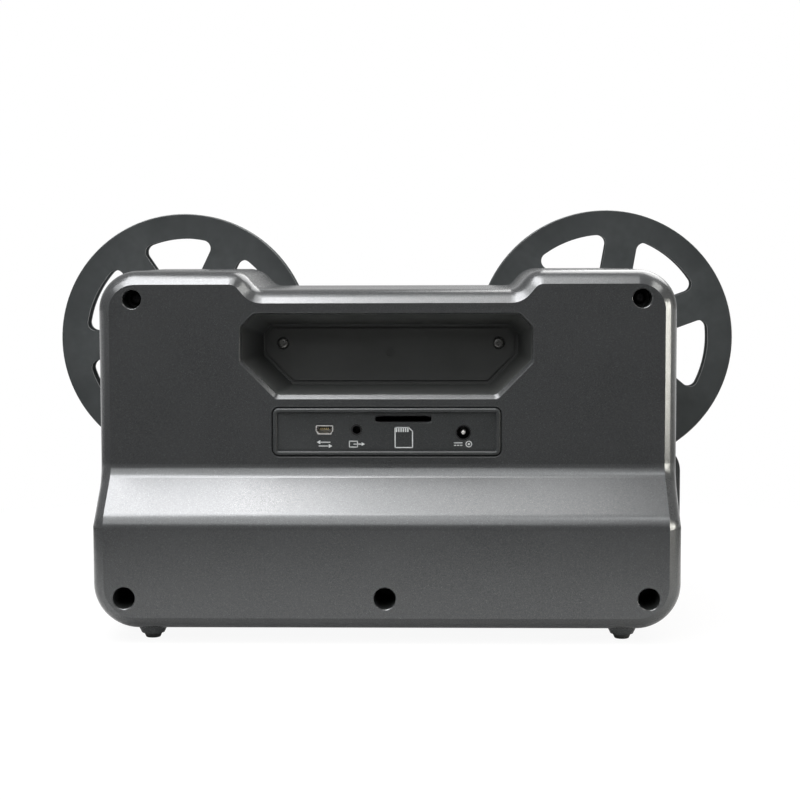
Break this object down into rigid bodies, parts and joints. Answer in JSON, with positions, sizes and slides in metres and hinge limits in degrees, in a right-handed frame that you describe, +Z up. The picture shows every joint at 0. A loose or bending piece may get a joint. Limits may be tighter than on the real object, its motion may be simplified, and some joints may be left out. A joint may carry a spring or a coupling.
{
  "type": "film scanner",
  "caption": "Desktop scanner for small-gauge film on reels: satin charcoal casing with a carrying recess and sockets in the rear, two windowed reels and a hinged film gate in front.",
  "frame": {"origin": "on the surface the scanner stands on, under the middle of its width and overall depth", "axes": "+Z up, front with the reels towards -Y, rear with the sockets towards +Y, +X to the right seen from the front"},
  "size_m": [0.3361, 0.174, 0.1898],
  "materials": {
    "shell_charcoal": "satin metallic charcoal, fine spark texture",
    "recess_black": "matt black, lightly textured",
    "foot_rubber": "soft matt",
    "screw_steel": "dark zinc",
    "screw_black": "black oxide",
    "panel_charcoal": "satin",
    "socket_metal": "nickel plated",
    "socket_black": "moulded",
    "board_green": "solder mask",
    "panel_gloss": "piano black",
    "screen_glass": "clear, tinted",
    "display_dark": "switched off",
    "key_grey": "satin",
    "spindle_black": "moulded",
    "gear_white": "acetal",
    "motor_steel": "drawn can",
    "bracket_steel": "zinc plated sheet",
    "bush_brass": "turned",
    "reel_grey": "matt dark grey",
    "roller_black": "moulded",
    "post_steel": "turned",
    "gate_aluminium": "bead blasted",
    "door_black": "matt",
    "diffuser_white": "milky",
    "mirror_glass": "front silvered",
    "lens_glass": "coated",
    "barrel_black": "anodised black"
  },
  "bodies": {
    "casing": {"av_jack": "socket_black", "board_screws": "screw_steel", "bracket_screws": "screw_steel", "camera_bracket": "bracket_steel", "card_socket": "socket_black", "case_screws": "screw_black", "control_panel": "panel_gloss", "data_port": "socket_metal", "dc_jack": "socket_black", "display_module": "display_dark", "fold_mirror": "mirror_glass", "front_base": "shell_charcoal", "front_shell": "shell_charcoal", "gate_plate": "gate_aluminium", "hinge_pin": "post_steel", "keypad_board": "board_green", "lens_barrel": "barrel_black", "lens_elements": "lens_glass", "main_board": "board_green", "motor_brackets": "bracket_steel", "rear_shell": "shell_charcoal", "recess_cup": "recess_black", "recess_screws": "screw_steel", "roller_posts": "post_steel", "rubber_feet": "foot_rubber", "screen_glass": "screen_glass", "sensor_board": "board_green", "socket_panel": "panel_charcoal", "spindle_bushes": "bush_brass", "supply_motor": "motor_steel", "take_up_motor": "motor_steel", "transport_frame": "bracket_steel", "transport_motor": "motor_steel"},
    "supply_spindle_body": {"supply_spindle": "spindle_black", "supply_gear": "gear_white"},
    "supply_motor_shaft": {"supply_pinion": "bush_brass"},
    "supply_reel": {"supply_reel_back": "reel_grey", "supply_reel_front": "reel_grey"},
    "take_up_spindle_body": {"take_up_spindle": "spindle_black", "take_up_gear": "gear_white"},
    "take_up_motor_shaft": {"take_up_pinion": "bush_brass"},
    "take_up_reel": {"take_up_reel_back": "reel_grey", "take_up_reel_front": "reel_grey"},
    "cam_shaft": {"cam_gear": "gear_white"},
    "transport_motor_shaft": {"transport_pinion": "bush_brass"},
    "claw": {"claw_lever": "bracket_steel"},
    "roller_1": {"guide_roller_1": "roller_black"},
    "roller_2": {"guide_roller_2": "roller_black"},
    "roller_3": {"guide_roller_3": "roller_black"},
    "roller_4": {"guide_roller_4": "roller_black"},
    "gate": {"gate_door": "door_black", "pressure_plate": "gate_aluminium", "diffuser": "diffuser_white", "light_board": "board_green"},
    "slider": {"size_slider": "key_grey"},
    "key_1": {"button_1": "key_grey"},
    "key_2": {"button_2": "key_grey"},
    "key_3": {"button_3": "key_grey"},
    "key_4": {"button_4": "key_grey"},
    "key_5": {"button_5": "key_grey"}
  },
  "joints": [
    {"name": "supply_turn", "type": "hinge", "parent": "casing", "child": "supply_spindle_body", "pos_m": [-0.1051, -0.045, 0.1263], "axis": [0, 1, 0], "continuous": true},
    {"name": "supply_motor_turn", "type": "hinge", "parent": "casing", "child": "supply_motor_shaft", "pos_m": [-0.0843, -0.032, 0.1263], "axis": [0, 1, 0], "continuous": true},
    {"name": "supply_reel_pull", "type": "slide", "parent": "supply_spindle_body", "child": "supply_reel", "axis": [0, -1, 0], "range_m": [0, 0.03]},
    {"name": "take_up_turn", "type": "hinge", "parent": "casing", "child": "take_up_spindle_body", "pos_m": [0.1051, -0.045, 0.1263], "axis": [0, 1, 0], "continuous": true},
    {"name": "take_up_motor_turn", "type": "hinge", "parent": "casing", "child": "take_up_motor_shaft", "pos_m": [0.0843, -0.032, 0.1263], "axis": [0, 1, 0], "continuous": true},
    {"name": "take_up_reel_pull", "type": "slide", "parent": "take_up_spindle_body", "child": "take_up_reel", "axis": [0, -1, 0], "range_m": [0, 0.03]},
    {"name": "cam_turn", "type": "hinge", "parent": "casing", "child": "cam_shaft", "pos_m": [0.026, -0.0625, 0.0217], "axis": [0, 1, 0], "continuous": true},
    {"name": "transport_motor_turn", "type": "hinge", "parent": "casing", "child": "transport_motor_shaft", "pos_m": [0.04, -0.0625, 0.0217], "axis": [0, 1, 0], "continuous": true},
    {"name": "claw_slide", "type": "slide", "parent": "casing", "child": "claw", "axis": [1, 0, 0], "range_m": [0, 0.0042]},
    {"name": "roller_1_turn", "type": "hinge", "parent": "casing", "child": "roller_1", "pos_m": [-0.121, -0.05675, 0.0497], "axis": [0, 1, 0], "continuous": true},
    {"name": "roller_2_turn", "type": "hinge", "parent": "casing", "child": "roller_2", "pos_m": [-0.054, -0.05675, 0.0497], "axis": [0, 1, 0], "continuous": true},
    {"name": "roller_3_turn", "type": "hinge", "parent": "casing", "child": "roller_3", "pos_m": [0.054, -0.05675, 0.0497], "axis": [0, 1, 0], "continuous": true},
    {"name": "roller_4_turn", "type": "hinge", "parent": "casing", "child": "roller_4", "pos_m": [0.121, -0.05675, 0.0497], "axis": [0, 1, 0], "continuous": true},
    {"name": "gate_hinge", "type": "hinge", "parent": "casing", "child": "gate", "pos_m": [0, -0.049, 0.0587], "axis": [-1, 0, 0], "range_deg": [0, 90]},
    {"name": "size_slide", "type": "slide", "parent": "casing", "child": "slider", "axis": [1, 0, 0], "range_m": [0, 0.007]},
    {"name": "key_1_press", "type": "slide", "parent": "casing", "child": "key_1", "axis": [0, 1, 0], "range_m": [0, 0.0012], "stiffness_N_per_m": 900},
    {"name": "key_2_press", "type": "slide", "parent": "casing", "child": "key_2", "axis": [0, 1, 0], "range_m": [0, 0.0012], "stiffness_N_per_m": 900},
    {"name": "key_3_press", "type": "slide", "parent": "casing", "child": "key_3", "axis": [0, 1, 0], "range_m": [0, 0.0012], "stiffness_N_per_m": 900},
    {"name": "key_4_press", "type": "slide", "parent": "casing", "child": "key_4", "axis": [0, 1, 0], "range_m": [0, 0.0012], "stiffness_N_per_m": 900},
    {"name": "key_5_press", "type": "slide", "parent": "casing", "child": "key_5", "axis": [0, 1, 0], "range_m": [0, 0.0012], "stiffness_N_per_m": 900}
  ],
  "couplings": [
    {"joint": "supply_motor_turn", "follows": "supply_turn", "ratio": -3.3333},
    {"joint": "take_up_motor_turn", "follows": "take_up_turn", "ratio": -3.3333},
    {"joint": "transport_motor_turn", "follows": "cam_turn", "ratio": -3.6667}
  ]
}
